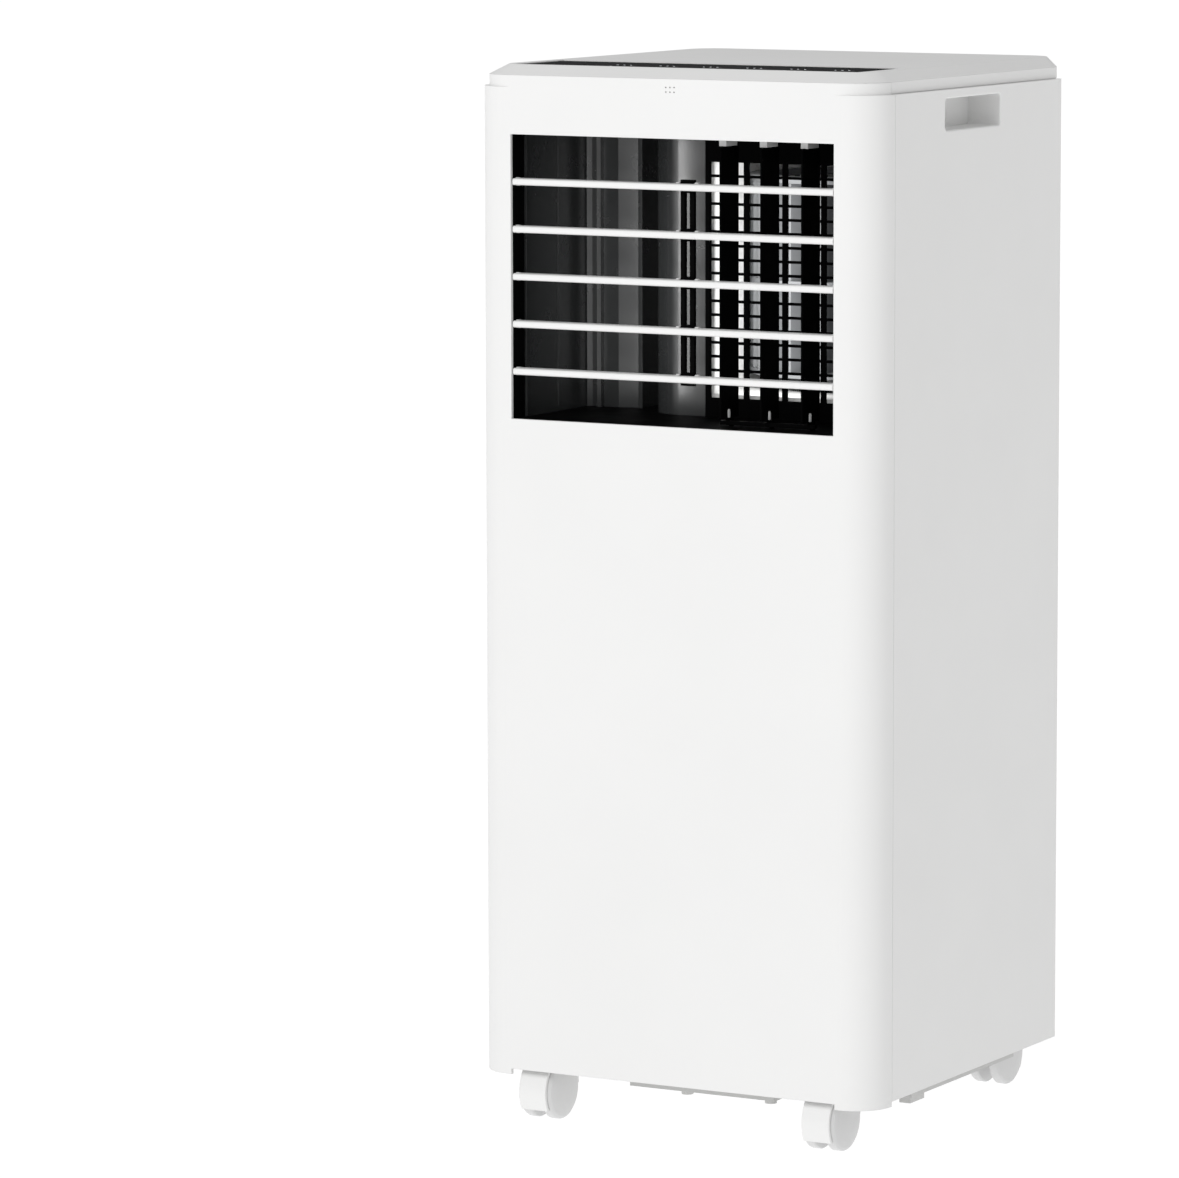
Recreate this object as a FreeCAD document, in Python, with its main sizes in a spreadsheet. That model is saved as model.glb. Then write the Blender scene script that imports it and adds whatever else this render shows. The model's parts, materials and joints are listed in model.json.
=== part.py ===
"""Portable air conditioner on four swivel casters.

The frame stands on the floor: +Z up, the outlet faces -Y, and the origin lies on the floor
under the middle of the casing.  Sizes are in millimetres.  The driving ones are in the sheet
"sizes"; small details are written where they are used, next to the driving size they depend on.
Left and right are as seen from the front: left is -X.
"""
import FreeCAD, Part
import math
import os
import re
import Sketcher

V = FreeCAD.Vector
doc = FreeCAD.newDocument("portable_air_conditioner")
sheet = doc.addObject("Spreadsheet::Sheet", "sizes")

SIZES = [
    # casing
    ("width", 297, "overall width, side face to side face"),
    ("depth", 294, "overall depth, front face to the cover's rear edge"),
    ("height", 700, "overall height, floor to the flat top"),
    ("wall", 2.5, "moulded wall thickness"),
    ("corner", 25, "radius of the upright front corners"),
    ("seam_y", -120, "where the front panel meets the side panels"),
    ("side_rear_y", 126, "rear end of the side panels"),
    ("rear_y", 144, "rear face of the rear panel"),
    ("inset", 3, "step in from the side faces to the cover and rear panel"),
    ("shell_low", 35, "lower edge of the casing"),
    ("corner_low", 31.8, "lower edge of the front panel's corners"),
    ("shoulder", 686, "top of the side panels"),
    ("skirt_top", 693.6, "where the top cover's slope starts"),
    ("slope_front", 16, "depth of the slope at the front"),
    ("slope_side", 10.4, "width of the slope at the sides"),
    # air outlet
    ("outlet_half", 118.5, "half the width of the outlet"),
    ("outlet_low", 469, "lower edge of the outlet"),
    ("outlet_high", 655.2, "upper edge of the outlet"),
    ("duct_wall_t", 1.8, "wall of the outlet frame"),
    ("duct_rear_y", -19, "rear end of the outlet frame"),
    ("louver_axis_y", -141, "louvre pivot axis"),
    ("louver_half", 5.25, "half the depth of a louvre"),
    ("louver_thick", 4.4, "thickness of a louvre"),
    ("louver_pin", 1.9, "radius of a louvre's pivot pin"),
    ("link_arm", 4.1, "from a louvre's pivot to its link pin"),
    ("link_pin", 0.9, "radius of a louvre's link pin"),
    ("link_x", 8, "middle of the louvre link"),
    ("vane_pitch", 29.625, "spacing of the upright vanes"),
    ("vane_axis_y", -118.5, "vane pivot axis"),
    ("vane_front", 15.5, "vane in front of its axis"),
    ("vane_rear", 9, "vane behind its axis"),
    ("vane_thick", 1.6, "thickness of a vane"),
    ("vane_low", 474.5, "lower edge of the vanes"),
    ("vane_high", 650, "upper edge of the vanes"),
    ("vane_pin", 1.55, "radius of a vane's pivot pin"),
    ("vane_arm", 5, "from a vane's pivot forward to its link pin"),
    ("vane_pin_reach", 4, "how far a pivot pin runs into the blade"),
    ("guard_y", -77, "front of the finger guard"),
    ("guard_left", -12, "left edge of the finger guard"),
    ("guard_sill", 13, "solid border along the guard's lower edge"),
    ("guard_head", 18.6, "solid border along the guard's upper edge"),
    ("guard_rib", 3.3, "width of a guard rib"),
    ("guard_rib_pitch", 28.35, "spacing of the guard ribs"),
    ("bush_high", 4.7, "height of a vane bush"),
    ("bush_half", 2.6, "half the width of a vane bush"),
    ("fit", 0.05, "radial clearance of a running fit"),
    # hand grips
    ("grip_front", -48.2, "front end of a hand grip"),
    ("grip_rear", 33.5, "rear end of a hand grip"),
    ("grip_low", 659.6, "lower edge of a hand grip"),
    ("grip_high", 680.1, "upper edge of a hand grip"),
    ("grip_deep", 24, "depth of a hand grip"),
    # controls
    ("slot_half", 126, "half the width of the control slot"),
    ("slot_front", -128.6, "front edge of the control slot"),
    ("slot_rear", -63, "rear edge of the control slot"),
    ("panel_top", 699.4, "face of the control panel"),
    ("key_x", 18, "width of a key"),
    ("key_y", 14, "depth of a key"),
    ("key_row_y", -110, "row of keys"),
    # cold side
    ("blower_x", 45, "blower axis"),
    ("blower_y", 18, "blower axis"),
    ("blower_r", 66, "radius of the blower wheel"),
    ("deck_low", 366, "underside of the partition deck"),
    ("deck_high", 370, "top of the partition deck"),
    # hot side and rear
    ("fan_x", 36, "condenser fan axis and exhaust axis"),
    ("fan_z", 285, "condenser fan axis and exhaust axis"),
    ("exhaust_bore", 71, "inner radius of the exhaust collar"),
    ("window_half", 105, "half the width of the rear windows"),
    ("intake_low", 390.5, "lower edge of the upper rear window"),
    ("intake_high", 640, "upper edge of the upper rear window"),
    ("lower_low", 92, "lower edge of the lower rear window"),
    ("lower_high", 198, "upper edge of the lower rear window"),
    ("compressor_x", -70, "compressor axis"),
    ("compressor_y", -15, "compressor axis"),
    ("compressor_r", 56, "radius of the compressor"),
    # base and casters
    ("pan_low", 46, "underside of the base pan above the casters"),
    ("basin_low", 29, "underside of the base pan's basin"),
    ("caster_x", 105.7, "caster pivots, left and right"),
    ("caster_front_y", -122.8, "front wheel axles"),
    ("caster_rear_y", 121.3, "rear wheel axles"),
    ("caster_trail", 9, "from a caster's pivot to its axle"),
    ("wheel_r", 20, "radius of a wheel"),
    ("hood_r", 22.6, "outer radius of a caster hood"),
    ("hood_bore", 20.6, "inner radius of a caster hood"),
    ("hood_half", 10, "half the width of a caster hood"),
    ("stem_r", 4, "radius of a caster stem"),
    ("axle_r", 3, "radius of a wheel axle"),
]
for row, (alias, value, meaning) in enumerate(SIZES, start=1):
    sheet.set(f"A{row}", alias)
    sheet.set(f"B{row}", str(value))
    sheet.set(f"C{row}", meaning)
    sheet.setAlias(f"B{row}", alias)
doc.recompute()
ALIAS = re.compile(r"\b(" + "|".join(name for name, _, _ in SIZES) + r")\b")
NODES = []

LOUVERS = 5
VANES = 3
GUARD_RIBS = 5
GUARD_BARS = 16
KEYS = ["power_key", "mode_key", "cooler_key", "warmer_key", "speed_key", "swing_key"]
KEY_FIRST_X = -60
KEY_STEP = 32
PLANES = {"XY": "XY_Plane", "XZ": "XZ_Plane", "YZ": "YZ_Plane"}


def bound(text):
    """An expression in the sheet's words, ready for setExpression."""
    return ALIAS.sub(r"sizes.\1", str(text))


def number(text):
    """The present value of an expression in the sheet's words."""
    return float(sheet.evalExpression(bound(text)))


def place(obj, x=0, y=0, z=0, axis=None, angle=0):
    """Put an object at (x, y, z), turned by angle about axis."""
    turn = FreeCAD.Rotation(V(*axis), angle) if axis else FreeCAD.Rotation()
    obj.Placement = FreeCAD.Placement(V(number(x), number(y), number(z)), turn)
    for key, value in (("x", x), ("y", y), ("z", z)):
        obj.setExpression("Placement.Base." + key, bound(value))


# ---------------------------------------------------------------- sketches
class Outline:
    """A sketch on one of a body's own planes, with every size bound to the sheet."""

    def __init__(self, body, name, plane, offset):
        self.sk = body.newObject("Sketcher::SketchObject", name)
        role = PLANES[plane]
        face = [item for item in body.Origin.OriginFeatures if item.Role == role][0]
        self.sk.AttachmentSupport = [(face, "")]
        self.sk.MapMode = "FlatFace"
        self.sk.setExpression("AttachmentOffset.Base.z", bound(offset))

    def fix(self, kind, *where, text):
        """Add one size constraint and bind it."""
        index = self.sk.addConstraint(Sketcher.Constraint(kind, *where, number(text)))
        self.sk.setExpression(f"Constraints[{index}]", bound(text))

    def pin(self, shape, end, x, y):
        """Hold a point of a shape at (x, y)."""
        self.fix("DistanceX", -1, 1, shape, end, text=x)
        self.fix("DistanceY", -1, 1, shape, end, text=y)

    def circle(self, x, y, radius):
        centre = V(number(x), number(y), 0)
        ring = self.sk.addGeometry(Part.Circle(centre, V(0, 0, 1), number(radius)), False)
        self.pin(ring, 3, x, y)
        self.fix("Radius", ring, text=radius)

    def polygon(self, *corners):
        spots = [V(number(x), number(y), 0) for x, y in corners]
        sides = []
        for index, spot in enumerate(spots):
            far = spots[(index + 1) % len(spots)]
            sides.append(self.sk.addGeometry(Part.LineSegment(spot, far), False))
        for index, side in enumerate(sides):
            after = sides[(index + 1) % len(sides)]
            self.sk.addConstraint(Sketcher.Constraint("Coincident", side, 2, after, 1))
            self.pin(side, 1, *corners[index])

    def rectangle(self, x0, x1, y0, y1):
        self.polygon((x0, y0), (x1, y0), (x1, y1), (x0, y1))

    def rounded(self, x0, x1, y0, y1, low_r, high_r=None):
        """A rectangle with corner radius low_r on its low-y side and high_r on the other."""
        high_r = low_r if high_r is None else high_r
        half = math.pi / 2
        corners = [
            (f"{x0} + {low_r}", f"{y0} + {low_r}", low_r, 2 * half),
            (f"{x1} - {low_r}", f"{y0} + {low_r}", low_r, 3 * half),
            (f"{x1} - {high_r}", f"{y1} - {high_r}", high_r, 0),
            (f"{x0} + {high_r}", f"{y1} - {high_r}", high_r, half),
        ]
        arcs = []
        for x, y, radius, start in corners:
            ring = Part.Circle(V(number(x), number(y), 0), V(0, 0, 1), number(radius))
            arcs.append(self.sk.addGeometry(Part.ArcOfCircle(ring, start, start + half), False))
        for index, arc in enumerate(arcs):
            after = arcs[(index + 1) % 4]
            side = Part.LineSegment(self.sk.getPoint(arc, 2), self.sk.getPoint(after, 1))
            line = self.sk.addGeometry(side, False)
            self.sk.addConstraint(Sketcher.Constraint("Tangent", arc, 2, line, 1))
            self.sk.addConstraint(Sketcher.Constraint("Tangent", line, 2, after, 1))
        for arc, (x, y, radius, _) in zip(arcs, corners):
            self.pin(arc, 3, x, y)
            self.fix("Radius", arc, text=radius)


class Piece:
    """One moulded, pressed or turned piece: a PartDesign body made of pads and pockets."""

    def __init__(self, label):
        self.body = doc.addObject("PartDesign::Body", label)
        self.body.Label = label
        self.count = 0
        NODES.append(self.body)

    def sketch(self, plane, offset, draw):
        self.count += 1
        outline = Outline(self.body, f"{self.body.Label}_sketch_{self.count}", plane, offset)
        draw(outline)
        return outline.sk

    def extrude(self, kind, plane, low, high, draw):
        """A pad or a pocket between two levels along the plane's own axis (X, Y or Z)."""
        start = f"-({high})" if plane == "XZ" else low
        sk = self.sketch(plane, start, draw)
        before = self.volume()
        feature = self.body.newObject("PartDesign::" + kind, f"{self.body.Label}_{kind}_{self.count}")
        feature.Profile = sk
        feature.Reversed = kind == "Pocket"
        feature.setExpression("Length", bound(f"({high}) - ({low})"))
        doc.recompute()
        grew = self.volume() - before
        if (grew <= 0) if kind == "Pad" else (grew >= 0):
            raise RuntimeError(f"{feature.Name} changed nothing")
        return feature

    def volume(self):
        tip = self.body.Tip
        return tip.Shape.Volume if tip and hasattr(tip, "Shape") and not tip.Shape.isNull() else 0.0

    def pad(self, plane, low, high, draw):
        return self.extrude("Pad", plane, low, high, draw)

    def pocket(self, plane, low, high, draw):
        return self.extrude("Pocket", plane, low, high, draw)

    def loft(self, low, draw_low, high, draw_high):
        """A straight-sided solid between two outlines at two heights."""
        first = self.sketch("XY", low, draw_low)
        last = self.sketch("XY", high, draw_high)
        feature = self.body.newObject("PartDesign::AdditiveLoft", self.body.Label + "_loft")
        feature.Profile = first
        feature.Sections = [last]
        feature.Ruled = True
        doc.recompute()
        return feature

    def turn(self, draw):
        """A solid of revolution about the X axis, from a half section in the XY plane."""
        sk = self.sketch("XY", 0, draw)
        feature = self.body.newObject("PartDesign::Revolution", self.body.Label + "_turn")
        feature.Profile = sk
        feature.ReferenceAxis = (sk, ["H_Axis"])
        feature.Angle = 360
        doc.recompute()
        return feature

    def ring_of(self, feature, count):
        """Repeat a feature round the Z axis."""
        pattern = self.body.newObject("PartDesign::PolarPattern", self.body.Label + "_pattern")
        pattern.Originals = [feature]
        pattern.Axis = (feature.Profile[0], ["N_Axis"])
        pattern.Angle = 360
        pattern.Occurrences = count
        self.body.Tip = pattern
        doc.recompute()
        return pattern

    def round_edges(self, radius, chosen):
        """Fillet the edges of the tip for which chosen(edge) is true."""
        tip = self.body.Tip
        names = [f"Edge{i}" for i, edge in enumerate(tip.Shape.Edges, start=1) if chosen(edge)]
        feature = self.body.newObject("PartDesign::Fillet", f"{self.body.Label}_fillet_{self.count}")
        feature.Base = (tip, names)
        feature.setExpression("Radius", bound(radius))
        doc.recompute()
        return feature

    def place(self, **where):
        place(self.body, **where)


# ---------------------------------------------------------------- primitives
def block(x0, x1, y0, y1, z0, z1):
    box = doc.addObject("Part::Box", "block")
    for side, low, high in (("Length", x0, x1), ("Width", y0, y1), ("Height", z0, z1)):
        box.setExpression(side, bound(f"({high}) - ({low})"))
    place(box, x0, y0, z0)
    return box


def rod(x, y, z, radius, length, axis="Z"):
    """A cylinder that starts at (x, y, z) and runs along an axis."""
    turns = {"Z": (None, 0), "X": ((0, 1, 0), 90), "Y": ((1, 0, 0), -90)}
    cylinder = doc.addObject("Part::Cylinder", "rod")
    cylinder.setExpression("Radius", bound(radius))
    cylinder.setExpression("Height", bound(length))
    place(cylinder, x, y, z, *turns[axis])
    return cylinder


def joined(label, parts):
    """One node fused from several primitives."""
    fused = doc.addObject("Part::MultiFuse", label)
    fused.Label = label
    fused.Shapes = parts
    fused.Refine = True
    NODES.append(fused)
    return fused


def without(label, base, tools):
    """One node: a base with tools cut out of it."""
    cutters = doc.addObject("Part::MultiFuse", label + "_cutters")
    cutters.Shapes = tools
    result = doc.addObject("Part::Cut", label)
    result.Label = label
    result.Base = base
    result.Tool = cutters if len(tools) > 1 else tools[0]
    if len(tools) < 2:
        doc.removeObject(cutters.Name)
    if base in NODES:
        NODES.remove(base)
    NODES.append(result)
    return result


# ---------------------------------------------------------------- casing
def casing_ring(outline, inset, radius):
    """The casing's plan outline and its inner wall, stepped in by inset at the sides."""
    for gap in ("0", "wall"):
        outline.rounded(f"-width / 2 + {inset} + {gap}", f"width / 2 - {inset} - {gap}",
                        f"-depth / 2 + {gap}", f"depth / 2 - {gap}", f"({radius} - {gap})")


def front_panel():
    piece = Piece("front_panel")
    piece.pad("XY", "corner_low", "shoulder", lambda o: casing_ring(o, "0", "corner"))

    def ledge(outline):
        outline.rounded("-width / 2", "width / 2", "-depth / 2", "depth / 2", "corner")
        outline.rounded("-width / 2 + inset + wall", "width / 2 - inset - wall",
                        "-depth / 2 + wall", "depth / 2 - wall", "(corner - 1)")
    piece.pad("XY", "shoulder - wall", "shoulder", ledge)
    piece.pad("XY", "shoulder", "skirt_top", lambda o: casing_ring(o, "inset", "(corner + 1.5)"))
    piece.pocket("XY", "0", "height", lambda o: o.rectangle(
        "-width", "width", "seam_y", "depth"))
    piece.pocket("XZ", "-depth", "seam_y + 1", lambda o: o.rectangle(
        "-width / 2 + 28", "width / 2 - 28", "0", "shell_low + 0.5"))
    piece.pocket("XZ", "-depth", "seam_y", lambda o: o.rectangle(
        "-outlet_half", "outlet_half", "outlet_low", "outlet_high"))

    def sensor_holes(outline):
        for column in (-3, 0, 3):
            for row in (0, 3):
                outline.circle(column, f"shoulder - 0.8 + {row}", 0.5)
    piece.pocket("XZ", "-depth", "-depth / 2 + wall + 1", sensor_holes)


def side_panel(label, side):
    """side is 1 for the right panel and -1 for the left one."""
    piece = Piece(label)

    def across(depth_in):
        """Levels along X from depth_in inside the side face out to the face."""
        inner = f"width / 2 - ({depth_in})"
        return (inner, "width / 2") if side > 0 else ("-width / 2", f"-({inner})")
    piece.pad("YZ", *across("wall"), lambda o: o.rectangle(
        "seam_y + 0.2", "side_rear_y", "shell_low", "shoulder"))
    piece.pad("YZ", *across("grip_deep + 1.8"), lambda o: o.rounded(
        "grip_front - wall", "grip_rear + wall", "grip_low - wall", "grip_high + wall", 5))
    piece.pocket("YZ", *across("grip_deep"), lambda o: o.rounded(
        "grip_front", "grip_rear", "grip_low", "grip_high", 3))
    face = side * number("width / 2")

    def mouth(edge):
        """The edges of the grip's mouth in the side face."""
        box = edge.BoundBox
        return (abs(box.XMin - face) < 0.01 and abs(box.XMax - face) < 0.01
                and box.ZMin > number("grip_low") - 1 and box.ZMax < number("grip_high") + 1)
    piece.round_edges(1.2, mouth)


def rear_panel():
    piece = Piece("rear_panel")

    def ring(outline):
        for gap in ("0", "wall"):
            outline.rounded(f"-width / 2 + inset + {gap}", f"width / 2 - inset - {gap}",
                            f"-depth / 2 + {gap}", f"rear_y - {gap}", f"(corner + 1 - {gap})")
    piece.pad("XY", "shell_low", "shoulder", ring)
    piece.pocket("XY", "0", "height", lambda o: o.rectangle("-width", "width", "-depth", 100))
    for low, high in (("intake_low", "intake_high"), ("lower_low", "lower_high")):
        piece.pocket("XZ", 110, "depth", lambda o: o.rectangle(
            "-window_half", "window_half", low, high))

    def holes(outline):
        outline.circle("fan_x", "fan_z", "exhaust_bore + 4.2")
        outline.circle(-90, 62, 8.3)
        outline.circle(108, 62, 7)
        for x, z in screw_places():
            outline.circle(x, z, 1.7)
    piece.pocket("XZ", 120, "depth", holes)


def screw_places():
    """Screws down both edges of the rear panel."""
    return [(side * 112, z) for z in (86, 208, 376, 655) for side in (-1, 1)]


def housing_screws():
    parts = []
    for x, z in screw_places():
        parts.append(rod(x, "rear_y", z, 3.4, 1.6, "Y"))
        parts.append(rod(x, "rear_y - 9", z, 1.5, 9.5, "Y"))
    joined("housing_screws", parts)


def top_cover():
    piece = Piece("top_cover")

    def low(outline):
        outline.rounded("-width / 2 + inset", "width / 2 - inset", "-depth / 2", "depth / 2",
                        "(corner + 1.5)", "(corner + 3)")

    def high(outline):
        outline.rounded("-width / 2 + inset + slope_side", "width / 2 - inset - slope_side",
                        "-depth / 2 + slope_front", "depth / 2", "(corner - 9)", "(corner - 5)")
    piece.pad("XY", "shoulder", "skirt_top", low)
    piece.loft("skirt_top", low, "height", high)
    piece.pocket("XY", "shoulder", "skirt_top - 1.1", lambda o: o.rounded(
        "-width / 2 + inset + wall", "width / 2 - inset - wall",
        "-depth / 2 + wall", "depth / 2 - wall", "(corner - 1)"))
    piece.pocket("XY", "skirt_top - 2", "height - wall", lambda o: o.rounded(
        "-132", "132", "-depth / 2 + 19", "depth / 2 - 4", "(corner - 9)"))
    piece.pocket("XY", "shoulder", "skirt_top", lambda o: o.rectangle(
        "-width", "width", "-depth", "seam_y + 0.2"))
    piece.pocket("XY", "skirt_top", "height", lambda o: o.rectangle(
        "-slot_half", "slot_half", "slot_front", "slot_rear"))


def base_pan():
    piece = Piece("base_pan")
    piece.pad("XY", "pan_low", 80, lambda o: o.rounded(
        "-width / 2 + 6", "width / 2 - 6", "-depth / 2 + 3.5", "depth / 2 - 9", 22))
    piece.pocket("XY", "pan_low + 3", 80, lambda o: o.rounded(
        "-width / 2 + 8.5", "width / 2 - 8.5", "-depth / 2 + 6", "depth / 2 - 11.5", 19.5))
    basin = [("-141 + {0}", "-77 + {0}"), ("-40 + {0}", "-77 + {0}"), ("-40 + {0}", "-130 + {0}"),
             ("68 - {0}", "-130 + {0}"), ("68 - {0}", "-77 + {0}"), ("141 - {0}", "-77 + {0}"),
             ("141 - {0}", "77 - {0}"), ("70 - {0}", "77 - {0}"), ("70 - {0}", "130 - {0}"),
             ("-70 + {0}", "130 - {0}"), ("-70 + {0}", "77 - {0}"), ("-141 + {0}", "77 - {0}")]

    def shrunk(gap):
        return [(x.format(gap), y.format(gap)) for x, y in basin]
    piece.pad("XY", "basin_low", "pan_low + 1", lambda o: o.polygon(*shrunk("0")))
    piece.pocket("XY", "basin_low + 3", "pan_low + 3", lambda o: o.polygon(*shrunk("3")))

    def casters(outline, radius):
        for x in ("-caster_x", "caster_x"):
            outline.circle(x, "caster_front_y + caster_trail", radius)
            outline.circle(x, "caster_rear_y - caster_trail", radius)
    piece.pad("XY", "pan_low + 1", 71, lambda o: casters(o, 8))
    piece.pocket("XY", "pan_low", 72, lambda o: casters(o, "stem_r + fit"))
    for side in (-1, 1):
        low, high = sorted((side * 132, side * 140))
        piece.pad("XY", "basin_low - 4", "basin_low + 1", lambda o: o.rectangle(low, high, -76.5, -56))

    def screw_bumps(outline):
        for x in (0, 62):
            outline.circle(x, -124, 4)
    piece.pad("XY", "basin_low - 2.5", "basin_low + 1", screw_bumps)
    piece.pad("XZ", "depth / 2 - 11.6", "rear_y + 0.4", lambda o: o.circle(-90, 62, 8))
    piece.pocket("XZ", "depth / 2 - 25", "rear_y + 0.4", lambda o: o.circle(-90, 62, 5))


# ---------------------------------------------------------------- air outlet
def outlet_frame():
    piece = Piece("outlet_frame")
    piece.pad("XZ", "-depth / 2 + wall", "duct_rear_y", lambda o: (
        o.rectangle("-outlet_half - duct_wall_t", "outlet_half + duct_wall_t",
                    "outlet_low - duct_wall_t", "outlet_high + duct_wall_t"),
        o.rectangle("-outlet_half", "outlet_half", "outlet_low", "outlet_high")))

    def louver_holes(outline):
        for index in range(1, LOUVERS + 1):
            outline.circle("louver_axis_y", louver_z(index), "louver_pin + fit")
    piece.pocket("YZ", "-outlet_half - 5", "outlet_half + 5", louver_holes)

    def vane_holes(outline):
        for index in range(VANES):
            outline.circle(vane_x(index), "vane_axis_y", "vane_pin + fit")
    piece.pocket("XY", "outlet_low - 5", "outlet_high + 5", vane_holes)


def louver_z(index):
    return f"outlet_low + (outlet_high - outlet_low) / {LOUVERS + 1} * {index}"


def vane_x(index):
    return f"vane_pitch * {index + 1}"


def louver(index):
    """A blade along X with its pivot axis at the origin of its own frame."""
    piece = Piece(f"louver_{index}")
    blade = "outlet_half - 0.9"
    piece.pad("YZ", f"-({blade})", blade, lambda o: o.rounded(
        "-louver_half", "louver_half", "-louver_thick / 2", "louver_thick / 2", 1.6))
    for low, high in ((f"-({blade})", f"-({blade}) + 2.6"), (f"{blade} - 2.6", blade)):
        piece.pad("YZ", low, high, lambda o: o.circle(0, 0, 2.7))
    piece.pad("YZ", f"-({blade}) - 2.4", f"{blade} + 2.4", lambda o: o.circle(0, 0, "louver_pin"))
    piece.pocket("XY", -4, 4, lambda o: o.rectangle(
        "link_x - 5.6", "link_x + 5.6", "link_arm - 3.6", "louver_half + 1"))
    for side in (-1, 1):
        low, high = sorted((side * 5.6, side * 8.2))
        piece.pad("YZ", f"link_x + {low}", f"link_x + {high}", lambda o: o.circle(
            "link_arm - 0.6", 0.6, 2.3))
    piece.pad("YZ", "link_x - 6.5", "link_x + 6.5", lambda o: o.circle("link_arm", 0, "link_pin"))
    piece.place(y="louver_axis_y", z=louver_z(index))


def louver_link():
    """The bar that ties the louvres together, hung on their link pins."""
    piece = Piece("louver_link")
    front = "louver_axis_y + link_arm - 1.7"
    piece.pad("YZ", "link_x - 4.8", "link_x + 4.8", lambda o: o.rectangle(
        front, "louver_axis_y + link_arm + 1.7", f"{louver_z(1)} - 4.5", f"{louver_z(LOUVERS)} + 4.5"))
    for index in range(1, LOUVERS):
        piece.pocket("XZ", f"{front} - 1", f"{front} + 4.4", lambda o: o.rectangle(
            "link_x - 1.9", "link_x + 1.9", f"{louver_z(index)} + 4", f"{louver_z(index + 1)} - 4"))

    def pin_holes(outline):
        for index in range(1, LOUVERS + 1):
            slack = "fit" if index == 3 else "0.12"
            outline.circle("louver_axis_y + link_arm", louver_z(index), f"link_pin + {slack}")
    piece.pocket("YZ", "link_x - 6", "link_x + 6", pin_holes)


def vane(index):
    """An upright blade with its pivot axis on the Z axis of its own frame."""
    piece = Piece(f"vane_{index + 1}")
    piece.pad("XY", "vane_low", "vane_high", lambda o: o.rounded(
        "-vane_thick / 2", "vane_thick / 2", "-vane_front", "vane_rear", 0.7))
    low = "outlet_low - duct_wall_t - 6" if index == VANES // 2 else "outlet_low - duct_wall_t + 0.2"
    high = "outlet_high + duct_wall_t - 0.2"
    piece.pad("XY", low, "vane_low + vane_pin_reach", lambda o: o.circle(0, 0, "vane_pin"))
    piece.pad("XY", "vane_high - vane_pin_reach", high, lambda o: o.circle(0, 0, "vane_pin"))
    piece.pad("XY", "vane_low - 4.6", "vane_low + 3", lambda o: o.circle(0, "-vane_arm", 1.1))
    piece.place(x=vane_x(index), y="vane_axis_y")


def vane_link():
    piece = Piece("vane_link")
    piece.pad("XY", "vane_low - 4.2", "vane_low - 1.6", lambda o: o.rounded(
        f"{vane_x(0)} - 5", f"{vane_x(VANES - 1)} + 5",
        "vane_axis_y - vane_arm - 2.8", "vane_axis_y - vane_arm + 2.8", 2))

    def pin_holes(outline):
        for index in range(VANES):
            slack = "fit" if index == VANES // 2 else "0.12"
            outline.circle(vane_x(index), "vane_axis_y - vane_arm", f"1.1 + {slack}")
    piece.pocket("XY", "vane_low - 5", "vane_low - 1", pin_holes)


def vane_bushes():
    """White bushes that hold the tops of the vanes under the duct's ceiling."""
    parts = []
    bores = []
    for index in range(VANES):
        x = vane_x(index)
        parts.append(block(f"{x} - bush_half", f"{x} + bush_half", "vane_axis_y - 12", "vane_axis_y + 3",
                           "outlet_high - bush_high", "outlet_high"))
        bores.append(rod(vane_x(index), "vane_axis_y", "vane_high", "vane_pin + fit",
                         "outlet_high - vane_high + 1"))
    discs = joined("vane_bush_discs", parts)
    without("vane_bushes", discs, bores)


def duct_wall():
    """The dark inner wall: straight at the left, then a deep recess and the round scroll tongue."""
    piece = Piece("duct_wall")
    left = "-outlet_half"
    front = "-depth / 2"

    def depth_at(depth):
        return f"{front} + {depth}"
    piece.pad("XY", "outlet_low", "outlet_high", lambda o: o.polygon(
        (left, depth_at(17.6)), (f"{left} + 1.6", depth_at(17.6)),
        (f"{left} + 1.6", depth_at(97.8)), (f"{left} + 4.5", depth_at(100)),
        (-107.2, depth_at(100)), (-107.2, depth_at(94)), (-105, depth_at(95.7)), (-105, depth_at(100)),
        (-94, depth_at(100)), (-79, depth_at(104)), (-79, depth_at(100)), (-76, depth_at(100)),
        (-76, depth_at(125)), (-32, depth_at(125)), (-32, depth_at(127)), (-78, depth_at(127)),
        (-78, depth_at(106)), (-94, depth_at(102)), (left, depth_at(102))))
    piece.pad("XY", "outlet_low", "outlet_high", lambda o: o.circle(-34, depth_at(99.5), 26))
    piece.pocket("XY", "outlet_low", "outlet_high", lambda o: o.circle(-34, depth_at(99.5), 24))
    piece.pocket("XY", "outlet_low", "outlet_high", lambda o: o.rectangle(
        "guard_left - 2", 0, depth_at(70), depth_at(130)))
    piece.pad("XY", "outlet_low", "outlet_high", lambda o: o.rectangle(
        -34, "guard_left - 2", "guard_y + 3.5", "guard_y + 5.5"))
    piece.pocket("XY", "outlet_low + 4", "outlet_high - 4", lambda o: o.rectangle(
        f"{left} + 0.6", f"{left} + 2", depth_at(57), depth_at(60)))


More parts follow.
